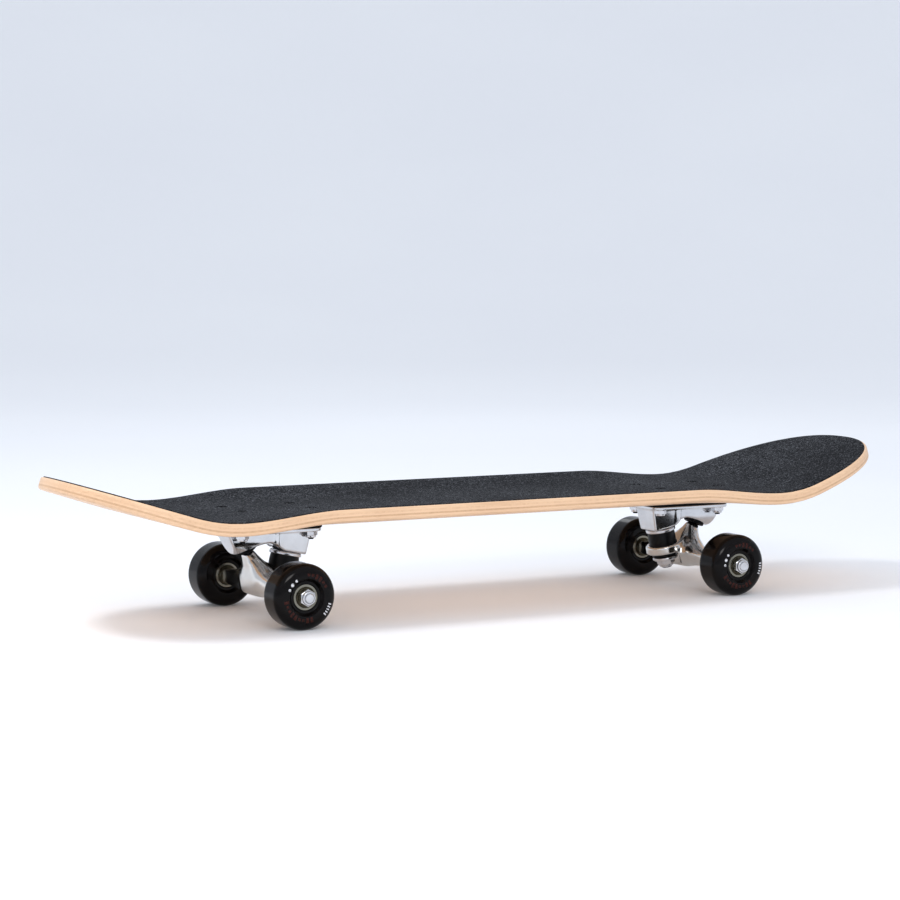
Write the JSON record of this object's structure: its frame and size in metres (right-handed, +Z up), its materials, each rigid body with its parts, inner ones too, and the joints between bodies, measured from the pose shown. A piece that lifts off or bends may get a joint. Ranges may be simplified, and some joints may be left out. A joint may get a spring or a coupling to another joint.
{
  "type": "skateboard",
  "caption": "Skateboard: pressed maple deck with grip tape on two sprung steering trucks, each with two ball-bearing urethane wheels.",
  "frame": {"origin": "on the floor under the middle of the board, which is also the middle of the wheelbase", "axes": "+X to the nose, +Y to the left side, +Z up"},
  "size_m": [0.8097, 0.2032, 0.1323],
  "materials": {
    "maple": "satin lacquered maple",
    "grip": "coarse abrasive grit",
    "pad": "matte",
    "cast_aluminium": "tumbled casting",
    "polished_aluminium": "polished",
    "zinc_steel": "zinc plated",
    "black_steel": "black oxide",
    "bearing_steel": "ground and polished",
    "bushing": "smooth urethane",
    "urethane": "glossy cast urethane",
    "nylon": "moulded"
  },
  "bodies": {
    "root": {"deck": "maple", "griptape": "grip", "riser_pad_nose": "pad", "baseplate_nose": "cast_aluminium", "pivot_cup_nose": "pad", "kingpin_nose": "zinc_steel", "kingpin_nut_nose": "zinc_steel", "washer_upper_nose": "zinc_steel", "bushing_upper_nose": "bushing", "bushing_lower_nose": "bushing", "washer_lower_nose": "zinc_steel", "mounting_bolts_nose": "black_steel", "mounting_nuts_nose": "zinc_steel", "riser_pad_tail": "pad", "baseplate_tail": "cast_aluminium", "pivot_cup_tail": "pad", "kingpin_tail": "zinc_steel", "kingpin_nut_tail": "zinc_steel", "washer_upper_tail": "zinc_steel", "bushing_upper_tail": "bushing", "bushing_lower_tail": "bushing", "washer_lower_tail": "zinc_steel", "mounting_bolts_tail": "black_steel", "mounting_nuts_tail": "zinc_steel"},
    "hanger_nose": {"hanger_nose": "polished_aluminium", "axle_nose": "bearing_steel", "speed_washers_nose": "zinc_steel", "axle_nuts_nose": "zinc_steel", "bearing_inners_nose_left": "bearing_steel", "bearing_inners_nose_right": "bearing_steel", "spacer_nose_left": "zinc_steel", "spacer_nose_right": "zinc_steel"},
    "hanger_tail": {"hanger_tail": "polished_aluminium", "axle_tail": "bearing_steel", "speed_washers_tail": "zinc_steel", "axle_nuts_tail": "zinc_steel", "bearing_inners_tail_left": "bearing_steel", "bearing_inners_tail_right": "bearing_steel", "spacer_tail_left": "zinc_steel", "spacer_tail_right": "zinc_steel"},
    "wheel_nose_left": {"wheel_nose_left": "urethane", "bearing_outers_nose_left": "bearing_steel", "shields_nose_left": "zinc_steel"},
    "cage_nose_left": {"balls_nose_left": "bearing_steel", "cages_nose_left": "nylon"},
    "wheel_nose_right": {"wheel_nose_right": "urethane", "bearing_outers_nose_right": "bearing_steel", "shields_nose_right": "zinc_steel"},
    "cage_nose_right": {"balls_nose_right": "bearing_steel", "cages_nose_right": "nylon"},
    "wheel_tail_left": {"wheel_tail_left": "urethane", "bearing_outers_tail_left": "bearing_steel", "shields_tail_left": "zinc_steel"},
    "cage_tail_left": {"balls_tail_left": "bearing_steel", "cages_tail_left": "nylon"},
    "wheel_tail_right": {"wheel_tail_right": "urethane", "bearing_outers_tail_right": "bearing_steel", "shields_tail_right": "zinc_steel"},
    "cage_tail_right": {"balls_tail_right": "bearing_steel", "cages_tail_right": "nylon"}
  },
  "joints": [
    {"name": "steer_nose", "type": "hinge", "parent": "root", "child": "hanger_nose", "pos_m": [0.23199, 0, 0.06398], "axis": [0.7837, 0, 0.6212], "range_deg": [-12, 12], "stiffness_Nm_per_rad": 45, "deforming": ["bushing_upper_nose", "bushing_lower_nose"]},
    {"name": "steer_tail", "type": "hinge", "parent": "root", "child": "hanger_tail", "pos_m": [-0.23199, 0, 0.06398], "axis": [-0.7837, 0, 0.6212], "range_deg": [-12, 12], "stiffness_Nm_per_rad": 45, "deforming": ["bushing_upper_tail", "bushing_lower_tail"]},
    {"name": "spin_nose_left", "type": "hinge", "parent": "hanger_nose", "child": "wheel_nose_left", "pos_m": [0.21655, 0.0779, 0.0275], "axis": [0, 1, 0], "continuous": true},
    {"name": "cage_spin_nose_left", "type": "hinge", "parent": "hanger_nose", "child": "cage_nose_left", "pos_m": [0.21655, 0.0779, 0.0275], "axis": [0, 1, 0], "continuous": true},
    {"name": "spin_nose_right", "type": "hinge", "parent": "hanger_nose", "child": "wheel_nose_right", "pos_m": [0.21655, -0.0779, 0.0275], "axis": [0, 1, 0], "continuous": true},
    {"name": "cage_spin_nose_right", "type": "hinge", "parent": "hanger_nose", "child": "cage_nose_right", "pos_m": [0.21655, -0.0779, 0.0275], "axis": [0, 1, 0], "continuous": true},
    {"name": "spin_tail_left", "type": "hinge", "parent": "hanger_tail", "child": "wheel_tail_left", "pos_m": [-0.21655, 0.0779, 0.0275], "axis": [0, 1, 0], "continuous": true},
    {"name": "cage_spin_tail_left", "type": "hinge", "parent": "hanger_tail", "child": "cage_tail_left", "pos_m": [-0.21655, 0.0779, 0.0275], "axis": [0, 1, 0], "continuous": true},
    {"name": "spin_tail_right", "type": "hinge", "parent": "hanger_tail", "child": "wheel_tail_right", "pos_m": [-0.21655, -0.0779, 0.0275], "axis": [0, 1, 0], "continuous": true},
    {"name": "cage_spin_tail_right", "type": "hinge", "parent": "hanger_tail", "child": "cage_tail_right", "pos_m": [-0.21655, -0.0779, 0.0275], "axis": [0, 1, 0], "continuous": true}
  ],
  "couplings": [
    {"joint": "cage_spin_nose_left", "follows": "spin_nose_left", "ratio": 0.6323},
    {"joint": "cage_spin_nose_right", "follows": "spin_nose_right", "ratio": 0.6323},
    {"joint": "cage_spin_tail_left", "follows": "spin_tail_left", "ratio": 0.6323},
    {"joint": "cage_spin_tail_right", "follows": "spin_tail_right", "ratio": 0.6323}
  ]
}
